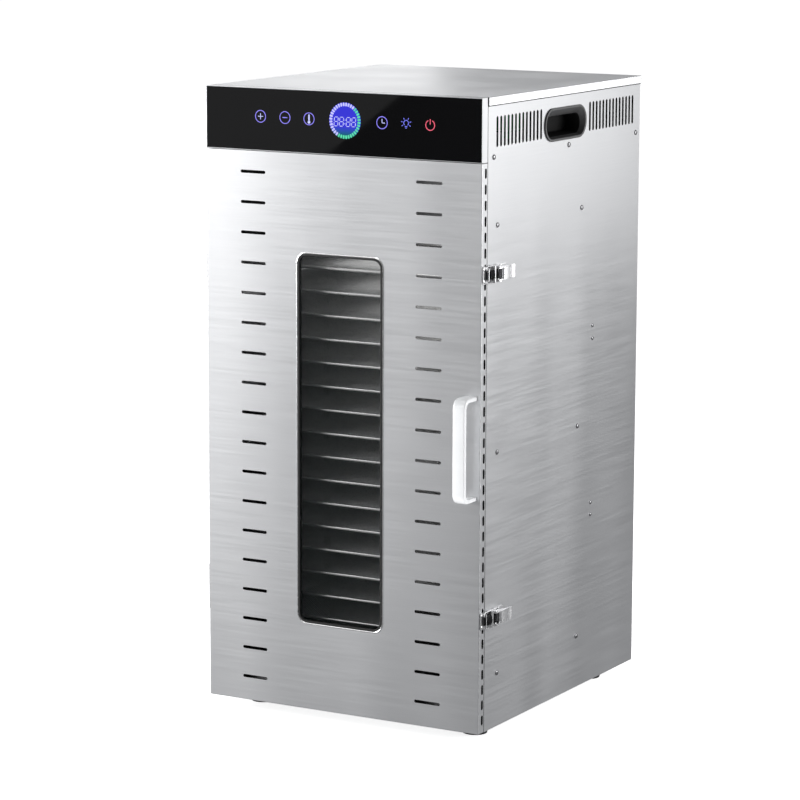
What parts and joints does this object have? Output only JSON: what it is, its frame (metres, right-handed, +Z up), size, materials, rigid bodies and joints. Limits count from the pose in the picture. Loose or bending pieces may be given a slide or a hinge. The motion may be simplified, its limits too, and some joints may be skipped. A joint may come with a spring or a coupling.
{
  "type": "food dehydrator",
  "caption": "Tall front-opening cabinet food dehydrator: touch panel over a slotted, windowed steel door, draw latches, stacked slide-in trays, rear fans and heater",
  "frame": {"origin": "on the floor, under the middle of the whole object's bounding box", "axes": "+Z up; the door faces -Y; the latches are on the +X side and the hinges on the -X side"},
  "size_m": [0.4192, 0.4804, 0.818],
  "materials": {
    "brushed_steel": "brushed stainless sheet, satin",
    "tray_steel": "woven stainless wire in a folded rim",
    "galvanised_steel": "plain galvanised sheet",
    "chrome": "bright plated steel",
    "black_glass": "opaque black touch glass, polished",
    "window_glass": "clear tempered glass",
    "panel_light": "lit symbols behind the touch glass",
    "white_plastic": "smooth moulded",
    "black_plastic": "fine moulded texture",
    "black_rubber": "matte",
    "circuit_board": "solder-masked board with its components",
    "heater_steel": "heat-darkened steel tube"
  },
  "bodies": {
    "cabinet": {"base_pan": "galvanised_steel", "side_panel_left": "brushed_steel", "side_panel_right": "brushed_steel", "back_panel": "brushed_steel", "top_cover": "brushed_steel", "front_frame": "brushed_steel", "bay_floor": "galvanised_steel", "control_fascia": "brushed_steel", "control_glass": "black_glass", "control_board": "circuit_board", "power_board": "circuit_board", "power_inlet": "black_plastic", "carry_handle_left": "black_plastic", "carry_handle_right": "black_plastic", "foot_front_left": "black_rubber", "foot_front_right": "black_rubber", "foot_rear_left": "black_rubber", "foot_rear_right": "black_rubber", "tray_rack_left": "brushed_steel", "tray_rack_right": "brushed_steel", "duct_plate": "brushed_steel", "fan_motor_upper": "galvanised_steel", "fan_motor_lower": "galvanised_steel", "heater_element": "heater_steel", "temperature_probe": "chrome", "chamber_lamp": "white_plastic", "hinge_cabinet_upper": "chrome", "hinge_cabinet_lower": "chrome", "latch_base_upper": "chrome", "latch_base_lower": "chrome"},
    "door": {"door_panel": "brushed_steel", "window_gasket": "black_rubber", "door_window": "window_glass", "door_handle": "white_plastic", "hinge_door_upper": "chrome", "hinge_door_lower": "chrome", "latch_keeper_upper": "chrome", "latch_keeper_lower": "chrome"},
    "fan_upper": {"fan_rotor_upper": "black_plastic"},
    "lever_upper": {"latch_lever_upper": "chrome"},
    "bail_upper": {"latch_bail_upper": "chrome"},
    "fan_lower": {"fan_rotor_lower": "black_plastic"},
    "lever_lower": {"latch_lever_lower": "chrome"},
    "bail_lower": {"latch_bail_lower": "chrome"},
    "tray_01": {"tray_01": "tray_steel"},
    "tray_02": {"tray_02": "tray_steel"},
    "tray_03": {"tray_03": "tray_steel"},
    "tray_04": {"tray_04": "tray_steel"},
    "tray_05": {"tray_05": "tray_steel"},
    "tray_06": {"tray_06": "tray_steel"},
    "tray_07": {"tray_07": "tray_steel"},
    "tray_08": {"tray_08": "tray_steel"},
    "tray_09": {"tray_09": "tray_steel"},
    "tray_10": {"tray_10": "tray_steel"},
    "tray_11": {"tray_11": "tray_steel"},
    "tray_12": {"tray_12": "tray_steel"},
    "tray_13": {"tray_13": "tray_steel"},
    "tray_14": {"tray_14": "tray_steel"},
    "tray_15": {"tray_15": "tray_steel"},
    "tray_16": {"tray_16": "tray_steel"}
  },
  "joints": [
    {"name": "door_hinge", "type": "hinge", "parent": "cabinet", "child": "door", "pos_m": [-0.2064, -0.19215, 0.378], "axis": [0, 0, -1], "range_deg": [0, 180]},
    {"name": "fan_spin_lower", "type": "hinge", "parent": "cabinet", "child": "fan_lower", "pos_m": [-0.0019, 0.12015, 0.254], "axis": [0, 1, 0], "continuous": true},
    {"name": "fan_spin_upper", "type": "hinge", "parent": "cabinet", "child": "fan_upper", "pos_m": [-0.0019, 0.12015, 0.49], "axis": [0, 1, 0], "continuous": true},
    {"name": "latch_bail_lower", "type": "hinge", "parent": "lever_lower", "child": "bail_lower", "pos_m": [0.2021, -0.16585, 0.1635], "axis": [0, 0, 1], "range_deg": [0, 120]},
    {"name": "latch_bail_upper", "type": "hinge", "parent": "lever_upper", "child": "bail_upper", "pos_m": [0.2021, -0.16585, 0.6], "axis": [0, 0, 1], "range_deg": [0, 120]},
    {"name": "latch_lever_lower", "type": "hinge", "parent": "cabinet", "child": "lever_lower", "pos_m": [0.2046, -0.17585, 0.1635], "axis": [0, 0, -1], "range_deg": [0, 120]},
    {"name": "latch_lever_upper", "type": "hinge", "parent": "cabinet", "child": "lever_upper", "pos_m": [0.2046, -0.17585, 0.6], "axis": [0, 0, -1], "range_deg": [0, 120]},
    {"name": "tray_01_slide", "type": "slide", "parent": "cabinet", "child": "tray_01", "axis": [0, -1, 0], "range_m": [0, 0.012]},
    {"name": "tray_02_slide", "type": "slide", "parent": "cabinet", "child": "tray_02", "axis": [0, -1, 0], "range_m": [0, 0.012]},
    {"name": "tray_03_slide", "type": "slide", "parent": "cabinet", "child": "tray_03", "axis": [0, -1, 0], "range_m": [0, 0.012]},
    {"name": "tray_04_slide", "type": "slide", "parent": "cabinet", "child": "tray_04", "axis": [0, -1, 0], "range_m": [0, 0.012]},
    {"name": "tray_05_slide", "type": "slide", "parent": "cabinet", "child": "tray_05", "axis": [0, -1, 0], "range_m": [0, 0.012]},
    {"name": "tray_06_slide", "type": "slide", "parent": "cabinet", "child": "tray_06", "axis": [0, -1, 0], "range_m": [0, 0.012]},
    {"name": "tray_07_slide", "type": "slide", "parent": "cabinet", "child": "tray_07", "axis": [0, -1, 0], "range_m": [0, 0.012]},
    {"name": "tray_08_slide", "type": "slide", "parent": "cabinet", "child": "tray_08", "axis": [0, -1, 0], "range_m": [0, 0.012]},
    {"name": "tray_09_slide", "type": "slide", "parent": "cabinet", "child": "tray_09", "axis": [0, -1, 0], "range_m": [0, 0.012]},
    {"name": "tray_10_slide", "type": "slide", "parent": "cabinet", "child": "tray_10", "axis": [0, -1, 0], "range_m": [0, 0.012]},
    {"name": "tray_11_slide", "type": "slide", "parent": "cabinet", "child": "tray_11", "axis": [0, -1, 0], "range_m": [0, 0.012]},
    {"name": "tray_12_slide", "type": "slide", "parent": "cabinet", "child": "tray_12", "axis": [0, -1, 0], "range_m": [0, 0.012]},
    {"name": "tray_13_slide", "type": "slide", "parent": "cabinet", "child": "tray_13", "axis": [0, -1, 0], "range_m": [0, 0.012]},
    {"name": "tray_14_slide", "type": "slide", "parent": "cabinet", "child": "tray_14", "axis": [0, -1, 0], "range_m": [0, 0.012]},
    {"name": "tray_15_slide", "type": "slide", "parent": "cabinet", "child": "tray_15", "axis": [0, -1, 0], "range_m": [0, 0.012]},
    {"name": "tray_16_slide", "type": "slide", "parent": "cabinet", "child": "tray_16", "axis": [0, -1, 0], "range_m": [0, 0.012]}
  ],
  "couplings": [
    {"joint": "latch_bail_upper", "follows": "latch_lever_upper", "ratio": 1},
    {"joint": "latch_bail_lower", "follows": "latch_lever_lower", "ratio": 1}
  ]
}
